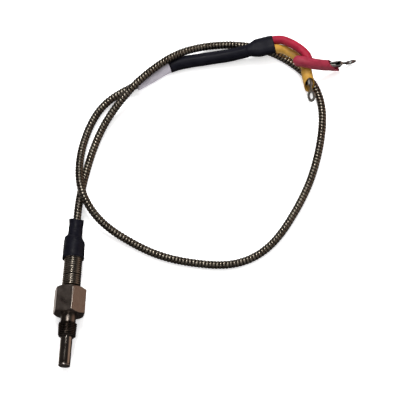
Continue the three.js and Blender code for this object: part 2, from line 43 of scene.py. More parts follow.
# ---- driving dimensions, in millimetres, as in the CAD -----------------------------------------
SHEATH_DIAMETER = 6.35
SHEATH_RADIUS = SHEATH_DIAMETER / 2
SHEATH_BORE_RADIUS = 2.275
SHEATH_PAST_HEX = 11
ROD_EXPOSED = 16
TIP_CAP_THICKNESS = 1.0
THREAD_FRONT_DIAMETER = 9.6
THREAD_REAR_DIAMETER = 10.1
THREAD_DEPTH = 0.7
THREAD_PITCH = 0.94
THREAD_LENGTH = 8
NECK_DIAMETER = 8.2
NECK_LENGTH = 4.3
HEX_ACROSS_FLATS = 15.875
HEX_LENGTH = 14.7
HEX_CHAMFER = 1.0
HEX_FACE_INSET = 0.3
HEX_ROLL = math.radians(17.3)
SPRING_DIAMETER = 9.9
SPRING_WIRE = 1.1
SPRING_EXPOSED = 16.7
SPRING_HIDDEN = 5
BOOT_LENGTH = 23.1
BOOT_SHOULDER = 11
PROBE_LENGTH = ROD_EXPOSED + THREAD_LENGTH + NECK_LENGTH + HEX_LENGTH + SPRING_EXPOSED + BOOT_LENGTH
HEX_CORNER = HEX_ACROSS_FLATS / math.sqrt(3)
AXIS_HEIGHT = HEX_CORNER * math.cos(math.pi / 6 - HEX_ROLL)

THREAD_START = ROD_EXPOSED
NECK_START = THREAD_START + THREAD_LENGTH
HEX_START = NECK_START + NECK_LENGTH
HEX_END = HEX_START + HEX_LENGTH
BOOT_START = HEX_END + SPRING_EXPOSED
SHEATH_END = HEX_END + SHEATH_PAST_HEX

ARMOUR_DIAMETER = 4.4
ARMOUR_BORE = 3.4
WHITE_SLEEVE_START = 535.5
BLACK_SLEEVE_START = 557
BREAKOUT_START = 602
ARMOUR_END = 605
LEAD_START = 609
LEAD_DIAMETER = 4.9
LEAD_BORE = 3.4
LEAD_OFFSET = 2.57
TERMINAL_SLEEVE_DIAMETER = 6.2
TERMINAL_SLEEVE_BORE = 5.4
RED_MOUTH_SLANT = 9
YELLOW_MOUTH_SLANT = 7
BARREL_LENGTH = 6.5
RING_REACH = 6.2
RING_MIDDLE = BARREL_LENGTH + RING_REACH
RING_RADIUS = 3.3
RING_HOLE_RADIUS = 1.85
RING_HALF_THICKNESS = 0.4

# ---- dimensions that only this model has, in millimetres ---------------------------------------
# The skins are drawn a little inside those of the CAD, which leaves room for their ripples.
TIP_PLUG_RADIUS = 2.0
TIP_PLUG_END = 2.2
TUBE_START = 1.12
ARMOUR_PITCH = 1.85
ARMOUR_GROOVE = 0.4
WHITE_SLEEVE_RADIUS = 3.43
BLACK_SLEEVE_RADIUS = 3.62
SLEEVE_BORE_RADIUS = 2.75
SLEEVE_GAP = 0.3
TERMINAL_SLEEVE_RADIUS = TERMINAL_SLEEVE_DIAMETER / 2 - 0.03
TERMINAL_SLEEVE_GAP = 0.1
BARREL_BORE_RADIUS = 1.45
RED_MOUTH_SIDE = -0.31      # radians, from a sleeve's top to the side that its mouth opens to
YELLOW_MOUTH_SIDE = -0.25

POINTS_PER_SPAN = 220
CORNER_STEPS = 4
SOFT_EDGE = 50              # degrees: a bend above this shades as an edge on the soft pieces

# ---- routes ------------------------------------------------------------------------------------
CABLE_POINTS = [
    (0, 16, AXIS_HEIGHT), (0, 31, AXIS_HEIGHT), (0, 46, AXIS_HEIGHT), (0.1, 53.5, 6),
    (0.5, 61, 3), (2, 72, 2.25), (4.9, 86.8, 2.25), (9.8, 101.2, 3.4),
    (17.9, 113.2, 8), (26.2, 124.1, 10.1), (35.5, 133.7, 9.9), (45.7, 142.5, 9.5),
    (57.1, 149.2, 5.9), (71.5, 154, 2.5), (90, 154.5, 2.25), (107.2, 148.5, 2.25),
    (121.8, 138, 2.25), (129.3, 124.8, 2.25), (131.1, 110, 2.25), (129.4, 92, 2.25),
    (125.3, 72.7, 2.25), (116.8, 52.9, 2.25), (105.6, 33.2, 2.25), (88, 22, 2.25),
    (67, 22, 2.25), (46.2, 24.7, 2.25), (28, 32.7, 3), (11.6, 41.4, 7),
    (1.4, 55.2, 10.2), (-1.7, 69.2, 8.2), (-1.7, 84, 3.6), (1.1, 98, 2.25),
    (7, 112, 2.4), (18, 121, 3.5), (31.2, 128.4, 3.7), (43.8, 139.4, 3.8),
    (62, 143.4, 3.8), (80, 146.3, 6), (91.3, 149.7, 8.9), (101.3, 152.6, 9.3),
]
RED_POINTS = [
    (105.2, 155.1, 11.3), (109.8, 153, 12), (114.2, 150.2, 13.1), (118, 146.9, 13.9),
    (120.2, 144.3, 13.9), (120.9, 142.3, 13.6),
]
YELLOW_POINTS = [
    (105.4, 150.8, 8.4), (109.8, 149.5, 7.2), (114.4, 146.6, 7.2), (118.2, 143.2, 7.4),
    (120.4, 137.4, 7.9),
]
RED_SLEEVE_POINTS = [
    (115.4, 140.9, 13.9), (119.6, 140.4, 13.9), (124, 140.2, 12.6), (130.4, 141.5, 8.6),
    (139.5, 143.7, 5.1),
]
YELLOW_SLEEVE_POINTS = [
    (120.2, 138.2, 7.9), (121, 134.4, 8.1), (122, 130.6, 7.1), (123.2, 126.6, 5.6),
]
RED_BARREL, RED_RING, RED_ROLL = (133.2, 142.5, 7), (145.1, 146.8, 3.8), math.radians(101)
YELLOW_BARREL, YELLOW_RING, YELLOW_ROLL = (121, 136.2, 8), (123.7, 124.4, 4.7), math.radians(60)


def unit(v):
    return v / np.linalg.norm(v, axis=-1, keepdims=True)


class Route:
    """A uniform cubic B-spline that starts at its first point and ends at its last."""

    def __init__(self, points):
        points = np.array(points, float)
        ends = (2 * points[0] - points[1], 2 * points[-1] - points[-2])
        knots = np.vstack([ends[0], points, ends[1]])
        spans = len(knots) - 3
        place = np.linspace(0, spans, spans * POINTS_PER_SPAN + 1)
        span = np.minimum(place.astype(int), spans - 1)
        x = place - span
        weights = [(1 - x) ** 3, 3 * x**3 - 6 * x**2 + 4, -3 * x**3 + 3 * x**2 + 3 * x + 1, x**3]
        self.line = sum(w[:, None] / 6 * knots[span + k] for k, w in enumerate(weights))
        steps = np.linalg.norm(np.diff(self.line, axis=0), axis=1)
        self.lengths = np.concatenate([[0], np.cumsum(steps)])
        self.length = float(self.lengths[-1])
        self.tangents = unit(np.gradient(self.line, axis=0))

    def between(self, values, lengths):
        """What belongs to the points of the line, taken at lengths along it."""
        return np.stack([np.interp(lengths, self.lengths, values[:, k]) for k in range(3)], -1)

    def at(self, lengths):
        return self.between(self.line, lengths)

    def frames(self, lengths):
        """Points, and three directions: up, to the right of the way the route runs, and along it."""
        tangent = unit(self.between(self.tangents, lengths))
        side = unit(np.cross(tangent, UP))
        return self.at(lengths), np.cross(side, tangent), side, tangent

    def beside(self, length, offset):
        """One point that lies an offset to the right of the route."""
        point, _, side, _ = self.frames(np.array([length]))
        return point[0] + side[0] * offset


cable = Route(CABLE_POINTS)


def lead_route(points, offset):
    """A lead's route: three points inside the breakout sleeve, and then the given ones."""
    first_step, mouth_depth = 4, 1
    places = (LEAD_START, LEAD_START + first_step, cable.length - mouth_depth)
    inside = [cable.beside(place, offset) for place in places]
    return Route(inside + [np.array(p, float) for p in points])


red_lead = lead_route(RED_POINTS, -LEAD_OFFSET)
yellow_lead = lead_route(YELLOW_POINTS, LEAD_OFFSET)
red_sleeve = Route(RED_SLEEVE_POINTS)
yellow_sleeve = Route(YELLOW_SLEEVE_POINTS)


# ---- mesh helpers ------------------------------------------------------------------------------
def as_object(name, verts, faces, groove=None, sharp=None):
    """A smooth mesh object from points in millimetres, with its faces turned out."""
    mesh = bpy.data.meshes.new(name)
    mesh.from_pydata((np.asarray(verts) * MM).tolist(), [], faces)
    mesh.update()
    # The groove values weight the painted shade that the metals mix into their color.
    if groove is not None:
        layer = mesh.attributes.new("groove", "FLOAT", "POINT")
        layer.data.foreach_set("value", np.asarray(groove, np.float32).ravel())
    obj = bpy.data.objects.new(name, mesh)
    bpy.context.scene.collection.objects.link(obj)
    mesh.calc_loop_triangles()
    points = np.array([v.co for v in mesh.vertices])
    corners = np.array([t.vertices for t in mesh.loop_triangles])
    a, b, c = (points[corners[:, k]] for k in range(3))
    if np.einsum("ij,ij->i", a, np.cross(b, c)).sum() < 0:
        mesh.flip_normals()
    mesh.shade_smooth()
    if sharp:
        mesh.set_sharp_from_angle(angle=math.radians(sharp))
    return obj


def loft(name, rings, loop=False, groove=None, sharp=None):
    """A skin over rings of points: a closed ring of rings, or a rod with flat ends."""
    rings = np.asarray(rings, float)
    n, m = rings.shape[:2]
    i = np.arange(n if loop else n - 1)[:, None]
    j = np.arange(m)[None, :]
    k, nxt = (j + 1) % m, (i + 1) % n
    faces = np.stack([i * m + j, i * m + k, nxt * m + k, nxt * m + j], -1).reshape(-1, 4).tolist()
    if not loop:
        faces.append(list(range(m))[::-1])
        faces.append(list(range((n - 1) * m, n * m)))
    return as_object(name, rings.reshape(-1, 3), faces, groove, sharp)


def turn(radius, place, angles):
    """Points about the probe's axis: radius and place from the tip by ring, angle from the top."""
    radius, place, angles = np.broadcast_arrays(
        np.asarray(radius, float), np.asarray(place, float), np.asarray(angles, float))
    return np.stack([
        radius * np.sin(angles), place - PROBE_LENGTH / 2, AXIS_HEIGHT + radius * np.cos(angles),
    ], -1)


def across(route, lengths, up_offset, side_offset):
    """Points beside a route, at lengths along it: arrays by ring and angle."""
    lengths = np.asarray(lengths, float)
    if lengths.ndim == 1:
        lengths = lengths[:, None]
    shape = np.broadcast_shapes(lengths.shape, np.shape(up_offset))
    flat = np.broadcast_to(lengths, shape).ravel()
    middle, up, side, _ = (v.reshape(*shape, 3) for v in route.frames(flat))
    return middle + up * up_offset[..., None] + side * side_offset[..., None]


def along(route, lengths, radius):
    """Round rings along a route. The radius is an array by ring and angle."""
    angles = even(np.shape(radius)[-1])
    return across(route, lengths, radius * np.cos(angles), radius * np.sin(angles))


def even(n):
    return np.linspace(0, 2 * math.pi, n, endpoint=False)


def rounded(profile, radius, loop=True):
    """The same outline with its corners rounded, by less than half of the shorter side."""
    side_share = 0.45
    points = np.array(profile, float)
    out = []
    n = len(points)
    for i, p in enumerate(points):
        if not loop and i in (0, n - 1):
            out.append(p)
            continue
        a = points[i - 1] - p
        b = points[(i + 1) % n] - p
        reach = min(radius, side_share * np.linalg.norm(a), side_share * np.linalg.norm(b))
        start, end = p + unit(a) * reach, p + unit(b) * reach
        for t in np.linspace(0, 1, CORNER_STEPS):
            out.append((1 - t) ** 2 * start + 2 * t * (1 - t) * p + t * t * end)
    return np.array(out)


def ripple(points, scale, seed):
    """Smooth noise from -1 to 1 at points in millimetres, at a size in millimetres."""
    flat = np.asarray(points).reshape(-1, 3) / scale + seed
    values = [noise.noise(Vector(p)) for p in flat]
    return np.array(values).reshape(np.shape(points)[:-1])


# ---- materials ---------------------------------------------------------------------------------
NOISE_RANGE = (0.3, 0.7)    # most of a noise texture's values lie in it
SKIN_RANGE = (0.32, 0.68)
MIX_FACTOR, MIX_FIRST, MIX_SECOND, MIX_RESULT = 0, 6, 7, 2   # a mix node's color sockets


class Finish:
    """A procedural material: a principled shader and the nodes that feed it."""

    def __init__(self, name, metallic=0.0, roughness=0.5, specular=0.5):
        self.material = bpy.data.materials.new(name)
        self.material.use_nodes = True
        self.nodes = self.material.node_tree.nodes
        self.links = self.material.node_tree.links
        self.shader = self.nodes["Principled BSDF"]
        self.shader.inputs["Metallic"].default_value = metallic
        self.shader.inputs["Roughness"].default_value = roughness
        self.shader.inputs["Specular IOR Level"].default_value = specular

    def noise(self, scale, detail, stretch=(1, 1, 1), roughness=0.5):
        coordinate = self.nodes.new("ShaderNodeTexCoord")
        mapping = self.nodes.new("ShaderNodeMapping")
        mapping.inputs["Scale"].default_value = stretch
        texture = self.nodes.new("ShaderNodeTexNoise")
        texture.inputs["Scale"].default_value = scale
        texture.inputs["Detail"].default_value = detail
        texture.inputs["Roughness"].default_value = roughness
        self.links.new(coordinate.outputs["Object"], mapping.inputs["Vector"])
        self.links.new(mapping.outputs["Vector"], texture.inputs["Vector"])
        return texture.outputs["Fac"]

    def ramp(self, value, places, colors):
        """A blend from one color to another, between two places in the value's range."""
        node = self.nodes.new("ShaderNodeValToRGB")
        for element, place, color in zip(node.color_ramp.elements, places, colors):
            element.position = place
            element.color = (*color, 1)
        self.links.new(value, node.inputs["Fac"])
        return node.outputs["Color"]

    def spread(self, value, low, high):
        """A noise value with its range mapped onto low to high."""
        node = self.nodes.new("ShaderNodeMapRange")
        for name, number in zip(("From Min", "From Max", "To Min", "To Max"), (*NOISE_RANGE, low, high)):
            node.inputs[name].default_value = number
        self.links.new(value, node.inputs["Value"])
        return node.outputs["Result"]

    def mix(self, factor, first, second):
        """Two colors mixed: the first comes from a node, and the second is three numbers."""
        node = self.nodes.new("ShaderNodeMix")
        node.data_type = "RGBA"
        self.links.new(factor, node.inputs[MIX_FACTOR])
        self.links.new(first, node.inputs[MIX_FIRST])
        node.inputs[MIX_SECOND].default_value = (*second, 1)
        return node.outputs[MIX_RESULT]

    def attribute(self, name):
        node = self.nodes.new("ShaderNodeAttribute")
        node.attribute_name = name
        return node.outputs["Fac"]

    def feed(self, name, socket):
        self.links.new(socket, self.shader.inputs[name])

    def bump(self, value, strength, distance):
        node = self.nodes.new("ShaderNodeBump")
        node.inputs["Strength"].default_value = strength
        node.inputs["Distance"].default_value = distance
        self.links.new(value, node.inputs["Height"])
        self.feed("Normal", node.outputs["Normal"])


def metal(name, dark, light, rough, stretch, scale, lines, shade_color=None):
    """Steel with patches of tone, drawn or turned lines, and painted shade in its grooves and hollows."""
    patch_scale, line_shade, line_depth = 220, 0.35, 0.00005
    finish = Finish(name, metallic=1.0)
    patches = finish.noise(patch_scale, 5, roughness=0.6)
    streaks = finish.noise(scale, 3, stretch)
    tone = finish.ramp(patches, NOISE_RANGE, (dark, light))
    tone = finish.mix(finish.spread(streaks, 0.0, line_shade), tone, dark)
    # The groove attribute mixes in a painted shade color: darkening where shade falls, not dirt.
    if shade_color:
        tone = finish.mix(finish.attribute("groove"), tone, shade_color)
    finish.feed("Base Color", tone)
    finish.feed("Roughness", finish.spread(patches, *rough))
    finish.bump(streaks, lines, line_depth)
    return finish.material


def skin(name, dark, light, rough, grain, grain_strength, specular):
    """A plastic, rubber or shrink-tube skin: mottled tone, uneven gloss and a fine grain."""
    patch_scale, grain_shade, grain_depth = 260, 0.25, 0.00008
    finish = Finish(name, specular=specular)
    patches = finish.noise(patch_scale, 5, roughness=0.6)
    fine = finish.noise(grain, 3)
    tone = finish.ramp(patches, SKIN_RANGE, (dark, light))
    finish.feed("Base Color", finish.mix(finish.spread(fine, 0.0, grain_shade), tone, dark))
    finish.feed("Roughness", finish.spread(patches, *rough))
    finish.bump(fine, grain_strength, grain_depth)
    return finish.material


ALONG_Y = (1, 0.04, 1)
AROUND_Y = (0.03, 1, 0.03)
EVENLY = (1, 1, 1)

# Each metal has a dark and a light tone, a range of roughness, the stretch, scale and depth of its
# lines, and at times the color of the painted shade in its grooves and hollows.
sheath_steel = metal(
    "sheath_steel", (0.42, 0.37, 0.33), (0.62, 0.57, 0.52), (0.1, 0.2), AROUND_Y, 2600, 0.04)
tip_steel = metal(
    "tip_steel", (0.45, 0.4, 0.37), (0.6, 0.56, 0.52), (0.25, 0.4), EVENLY, 1800, 0.2)
fitting_steel = metal(
    "fitting_steel", (0.3, 0.25, 0.22), (0.46, 0.4, 0.36), (0.24, 0.38), ALONG_Y, 1500, 0.2,
    (0.03, 0.026, 0.024))
spring_steel = metal(
    "spring_steel", (0.42, 0.37, 0.31), (0.62, 0.56, 0.48), (0.2, 0.32), EVENLY, 1400, 0.1,
    (0.05, 0.045, 0.04))
armour_steel = metal(
    "armour_steel", (0.3, 0.26, 0.21), (0.56, 0.5, 0.41), (0.22, 0.34), EVENLY, 900, 0.15,
    (0.02, 0.017, 0.014))
tin_plate = metal(
    "tin_plate", (0.55, 0.54, 0.53), (0.85, 0.84, 0.82), (0.26, 0.4), EVENLY, 1200, 0.1,
    (0.02, 0.02, 0.02))
alloy_wire = metal(
    "alloy_wire", (0.3, 0.29, 0.27), (0.5, 0.48, 0.45), (0.3, 0.5), ALONG_Y, 1800, 0.2)
braze = metal(
    "braze", (0.4, 0.3, 0.14), (0.62, 0.5, 0.28), (0.3, 0.5), EVENLY, 1500, 0.3)

# Each skin has a dark and a light tone, a range of roughness, the scale and depth of its grain, and
# how strongly it reflects.
black_shrink = skin(
    "black_shrink", (0.0035, 0.0035, 0.006), (0.006, 0.006, 0.01), (0.32, 0.5), 1800, 0.2, 0.15)
white_shrink = skin(
    "white_shrink", (0.38, 0.355, 0.41), (0.5, 0.475, 0.53), (0.4, 0.6), 1400, 0.25, 0.4)
red_jacket = skin(
    "red_jacket", (0.2, 0.006, 0.02), (0.3, 0.012, 0.034), (0.4, 0.58), 1500, 0.35, 0.3)
red_sleeving = skin(
    "red_sleeving", (0.18, 0.013, 0.028), (0.28, 0.024, 0.048), (0.35, 0.5), 1200, 0.3, 0.35)
yellow_jacket = skin(
    "yellow_jacket", (0.33, 0.175, 0.026), (0.45, 0.25, 0.042), (0.4, 0.58), 1500, 0.35, 0.35)
ceramic = skin(
    "ceramic", (0.7, 0.67, 0.6), (0.82, 0.8, 0.75), (0.6, 0.75), 2500, 0.3, 0.3)
cement = skin(
    "cement", (0.5, 0.46, 0.38), (0.66, 0.62, 0.54), (0.8, 0.95), 2200, 0.8, 0.2)
glass_wrap = skin(
    "glass_wrap", (0.55, 0.53, 0.48), (0.74, 0.72, 0.67), (0.7, 0.85), 3000, 0.6, 0.3)


def piece(obj, material, node):
    """Finishes a piece: its material, its body and the CAD node it stands for."""
    obj.data.materials.clear()
    obj.data.materials.append(material)
    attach(obj, "root")
    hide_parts(node)
    return obj


# ---- the camera --------------------------------------------------------------------------------
VIEW_AZIMUTH, VIEW_ELEVATION = math.radians(3.45), math.radians(68.5)
VIEW_TARGET, VIEW_DISTANCE = Vector((0.0655, 0.0602, 0)), 1.1
LENS, SENSOR_WIDTH = 180.74, 36
CLIP_START, CLIP_END = 0.05, 20
back = Vector((
    math.sin(VIEW_AZIMUTH) * math.cos(VIEW_ELEVATION),
    -math.cos(VIEW_AZIMUTH) * math.cos(VIEW_ELEVATION),
    math.sin(VIEW_ELEVATION),
))
camera_data = bpy.data.cameras.new("camera")
camera_data.lens = LENS
camera_data.sensor_width = SENSOR_WIDTH
camera_data.clip_start = CLIP_START
camera_data.clip_end = CLIP_END
camera = bpy.data.objects.new("camera", camera_data)
camera.location = VIEW_TARGET + back * VIEW_DISTANCE
camera.rotation_mode = "QUATERNION"
camera.rotation_quaternion = (-back).to_track_quat("-Z", "Y")
bpy.context.scene.collection.objects.link(camera)
bpy.context.scene.camera = camera

# ---- the armour and the leads ------------------------------------------------------------------
ARMOUR_SIDES = 28
ARMOUR_RINGS_PER_TURN = 10
ARMOUR_BORE_STEP = 2.0


def armour():
    """The wound strip, as a tube with a helical groove in its wall, and its path in metres."""
    groove_narrowness, shade_gain, shade_start = 3.2, 1.7, 0.1
    outer = np.arange(0, ARMOUR_END, ARMOUR_PITCH / ARMOUR_RINGS_PER_TURN)
    angles = even(ARMOUR_SIDES)
    phase = (outer[:, None] / ARMOUR_PITCH + angles[None, :] / (2 * math.pi)) % 1
    valley = np.abs(2 * phase - 1) ** groove_narrowness
    radius = ARMOUR_DIAMETER / 2 - ARMOUR_GROOVE * valley
    inner = np.arange(ARMOUR_END, 0, -ARMOUR_BORE_STEP)
    bore = np.full((len(inner), ARMOUR_SIDES), ARMOUR_BORE / 2)
    rings = np.concatenate([along(cable, outer, radius), along(cable, inner, bore)])
    # Painted shade: the groove's valleys, and the whole bore, are darkened towards the steel's shade color.
    groove_shade = np.clip(valley * shade_gain - shade_start, 0, 1)
    obj = loft("armour", rings, loop=True, groove=np.concatenate([groove_shade, np.ones(bore.shape)]))
    return obj, cable.at(outer) * MM


armour_piece, armour_path = armour()
piece(armour_piece, armour_steel, "cable_armour")

LEAD_SIDES = 40
LEAD_RINGS = 90
LEAD_BORE_RINGS = 30


def lead(name, route, material, node, seed):
    """A lead's insulation, a little uneven along its length, and its path in metres."""
    unevenness, patch = 0.02, 4.0
    lengths = np.linspace(0, route.length, LEAD_RINGS)
    outer = np.full((LEAD_RINGS, LEAD_SIDES), LEAD_DIAMETER / 2)
    outer = outer * (1 + unevenness * ripple(along(route, lengths, outer), patch, seed))
    inner = np.full((LEAD_BORE_RINGS, LEAD_SIDES), LEAD_BORE / 2)
    rings = np.concatenate([
        along(route, lengths, outer),
        along(route, np.linspace(route.length, 0, LEAD_BORE_RINGS), inner),
    ])
    obj = loft(name, rings, loop=True, sharp=SOFT_EDGE)
    piece(obj, material, node)
    return obj, route.at(lengths) * MM


red_lead_piece, red_path = lead("red_insulation", red_lead, red_jacket, "red_lead", seed=3)
yellow_lead_piece, yellow_path = lead(
    "yellow_insulation", yellow_lead, yellow_jacket, "yellow_lead", seed=8)


# ---- the sleeves on the cable ------------------------------------------------------------------
HOSE_SIDES = 56


def hose(name, route, profile, wobble, scale, seed, mouth=None):
    """A tube along a route. The closed profile is [radius, length along], and its wall ripples."""
    profile = np.array(profile, float)
    radius = np.repeat(profile[:, :1], HOSE_SIDES, 1)
    lengths = np.repeat(profile[:, 1:], HOSE_SIDES, 1)
    if mouth is not None:
        lengths = lengths - mouth(profile[:, 1:], even(HOSE_SIDES)[None, :])
    push = wobble * ripple(along(route, lengths, radius), scale, seed)
    return loft(name, along(route, lengths, radius + push), loop=True, sharp=SOFT_EDGE)


def tube_profile(outer, inner, start, end, step, rim=0.25):
    """The closed outline of a tube's wall, with rings every step and rounded rims."""
    bevel = 0.3 * rim
    n = max(2, int((end - start) / step))
    out = [(outer, s) for s in np.linspace(start + rim, end - rim, n)]
    back_in = [(inner, s) for s in np.linspace(end - rim, start + rim, max(2, n // 3))]
    lip_end = [(outer - bevel, end - bevel), (outer - rim, end), (inner + bevel, end)]
    lip_start = [(inner + bevel, start), (outer - rim, start), (outer - bevel, start + bevel)]
    return out + lip_end + back_in + lip_start


white_profile = tube_profile(
    WHITE_SLEEVE_RADIUS, SLEEVE_BORE_RADIUS, WHITE_SLEEVE_START, BLACK_SLEEVE_START - SLEEVE_GAP, 0.8)
black_profile = tube_profile(
    BLACK_SLEEVE_RADIUS, SLEEVE_BORE_RADIUS, BLACK_SLEEVE_START, BREAKOUT_START - SLEEVE_GAP, 0.7)
white_piece = piece(
    hose("white_heat_shrink", cable, white_profile, wobble=0.12, scale=6.0, seed=11),
    white_shrink, "white_sleeve")
black_piece = piece(
    hose("black_heat_shrink", cable, black_profile, wobble=0.16, scale=7.0, seed=21),
    black_shrink, "black_sleeve")


def breakout():
    """The sleeve over both leads: nearly round where it grips the cable, and wide at its mouth."""
    sides, overlap, outer, inner, step, rim = 72, 0.28, 3.35, 3.0, 0.4, 0.15
    flare_share, squareness = 0.42, 0.2
    extra_height, extra_width, flare_width = 0.27, 0.3, 1.8
    waist_depth, waist_width = 0.07, 0.35
    wobble, wobble_size, seed, shrink = 0.045, 4.0, 31, 0.02
    profile = np.array(tube_profile(outer, inner, BREAKOUT_START - overlap, cable.length, step, rim))
    share = np.clip((profile[:, 1:] - BREAKOUT_START) / (cable.length - BREAKOUT_START), 0, 1)
    t = np.clip(share / flare_share, 0, 1)
    flare = t * t * (3 - 2 * t)
    power = 1 / (1 + squareness * flare)
    tall = profile[:, :1] + extra_height * (1 - flare)
    wide = profile[:, :1] + extra_width + flare_width * flare
    angles = even(sides)[None, :]
    cos, sin = np.cos(angles), np.sin(angles)
    up = tall * np.sign(cos) * np.abs(cos) ** power
    side = wide * np.sign(sin) * np.abs(sin) ** power
    waist = 1 - waist_depth * flare * np.exp(-(sin / waist_width) ** 2)
    plain = across(cable, profile[:, 1:], up, side)
    push = 1 + wobble * ripple(plain, wobble_size, seed) - shrink
    rings = across(cable, profile[:, 1:], up * waist * push, side * push)
    return loft("breakout_heat_shrink", rings, loop=True, sharp=SOFT_EDGE)


breakout_piece = piece(breakout(), black_shrink, "breakout_sleeve")


# ---- the terminals -----------------------------------------------------------------------------
def placement(start, target, roll):
    """A terminal's place: its barrel starts at start, points at target, and is rolled about that way."""
    start, target = Vector(start), Vector(target)
    forward = (target - start).normalized()
    side = -forward.cross(Vector((0, 0, 1))).normalized()
    up = forward.cross(side)
    basis = Matrix((forward, side, up)).transposed().to_4x4()
    basis.translation = start
    return basis @ Matrix.Rotation(roll, 4, "X")


def joined(base, others, operation):
    """The base mesh joined with the other meshes, or with them cut away."""
    for other in others:
        modifier = base.modifiers.new("cut", "BOOLEAN")
        modifier.operation = operation
        modifier.solver = "EXACT"
        modifier.object = other
    bpy.context.view_layer.update()
    evaluated = base.evaluated_get(bpy.context.evaluated_depsgraph_get())
    result = bpy.data.meshes.new_from_object(evaluated)
    base.modifiers.clear()
    base.data = result
    for other in others:
        bpy.data.objects.remove(other)
    return base


# Along a terminal: the place, and half of the height and of the width there. The barrel is dented
# by its crimp, and narrows to the flat tongue.
BARREL_STATIONS = [
    (0.0, 1.9, 1.9), (0.12, 1.97, 1.97), (2.2, 1.97, 1.97), (2.8, 1.86, 1.97), (3.4, 1.78, 1.98),
    (4.0, 1.86, 1.97), (4.6, 1.97, 1.97), (5.8, 1.97, 1.97), (6.5, 1.6, 1.8), (7.1, 0.95, 1.6),
    (7.7, 0.52, 1.5), (8.4, 0.4, 1.5), (RING_MIDDLE - 2.5, 0.4, 1.5),
]
BOX_FACES = [(0, 1, 3, 2), (4, 6, 7, 5), (0, 4, 5, 1), (2, 3, 7, 6), (0, 2, 6, 4), (1, 5, 7, 3)]


def ring_terminal(name, place, seam_turn):
    """Barrel, tongue and ring in one piece. The barrel starts at x = 0 and the ring lies in XY."""
    sides, ring_sides, bore_sides = 48, 96, 32
    square_from, ring_rounding, edge = 6, 0.14, 35
    cutter_reach, bore_end, seam_end, seam_half_width, seam_top = 1, 6.0, 6.2, 0.85, 3
    shaded_radius, shaded_end = 1.5, 6.1
    angles, around = even(sides), even(ring_sides)
    body = []
    for x, tall, wide in BARREL_STATIONS:
        power = 2 if x < square_from else 4
        shape = (np.abs(np.cos(angles)) ** power + np.abs(np.sin(angles)) ** power) ** (-1 / power)
        y, z = wide * shape * np.sin(angles), tall * shape * np.cos(angles)
        body.append(np.stack([np.full(sides, x), y, z], -1))
    base = loft(name, body)

    def disc_ring(radius, z):
        x, y = RING_MIDDLE + radius * np.cos(around), radius * np.sin(around)
        return np.stack([x, y, np.full(ring_sides, z)], -1)

    def bore_ring(x):
        turned_by = even(bore_sides)
        y, z = BARREL_BORE_RADIUS * np.cos(turned_by), BARREL_BORE_RADIUS * np.sin(turned_by)
        return np.stack([np.full(bore_sides, x), y, z], -1)

    half = RING_HALF_THICKNESS
    outline = [(RING_HOLE_RADIUS, -half), (RING_RADIUS, -half), (RING_RADIUS, half), (RING_HOLE_RADIUS, half)]
    ring = loft(name + "_ring", [disc_ring(r, z) for r, z in rounded(outline, ring_rounding)], loop=True)
    base = joined(base, [ring], "UNION")
    hole = loft("hole", [disc_ring(RING_HOLE_RADIUS, z) for z in (-cutter_reach, cutter_reach)])
    bore = loft("bore", [bore_ring(x) for x in (-cutter_reach, bore_end)])
    corners = np.array([
        (x, y, z) for x in (-cutter_reach, seam_end) for y in (-seam_half_width, seam_half_width)
        for z in (half, seam_top)
    ], float)
    turn_x = np.array(Matrix.Rotation(seam_turn, 3, "X"))
    seam = as_object("seam", corners @ turn_x.T, BOX_FACES)
    base = joined(base, [hole, bore, seam], "DIFFERENCE")
    points = np.array([v.co for v in base.data.vertices]) / MM
    # Painted shade: the inside of the barrel's bore is darkened.
    inside = (np.hypot(points[:, 1], points[:, 2]) < shaded_radius) & (points[:, 0] < shaded_end)
    layer = base.data.attributes.new("groove", "FLOAT", "POINT")
    layer.data.foreach_set("value", inside.astype(np.float32))
    for step in (Matrix.Scale(1 / MM, 4), place, Matrix.Scale(MM, 4)):
        base.data.transform(step)
    base.data.shade_smooth()
    base.data.set_sharp_from_angle(angle=math.radians(edge))
    return base


red_place = placement(RED_BARREL, RED_RING, RED_ROLL)
yellow_place = placement(YELLOW_BARREL, YELLOW_RING, YELLOW_ROLL)
red_terminal = piece(
    ring_terminal("red_terminal", red_place, -math.pi / 2),
    tin_plate, "red_ring_terminal")
yellow_terminal = piece(
    ring_terminal("yellow_terminal", yellow_place, 0),
    tin_plate, "yellow_ring_terminal")


def slanted_mouth(route, slant, side_angle):
    """How far a sleeve's mouth is cut back, by length and angle: most at the side it opens to."""
    plain_share = 0.4

    def cut(lengths, angles):
        plain, slanted = plain_share * route.length, (1 - plain_share) * route.length
        share = np.clip((lengths - plain) / slanted, 0, 1)
        return share * slant * (1 + np.cos(angles - side_angle)) / 2
    return cut


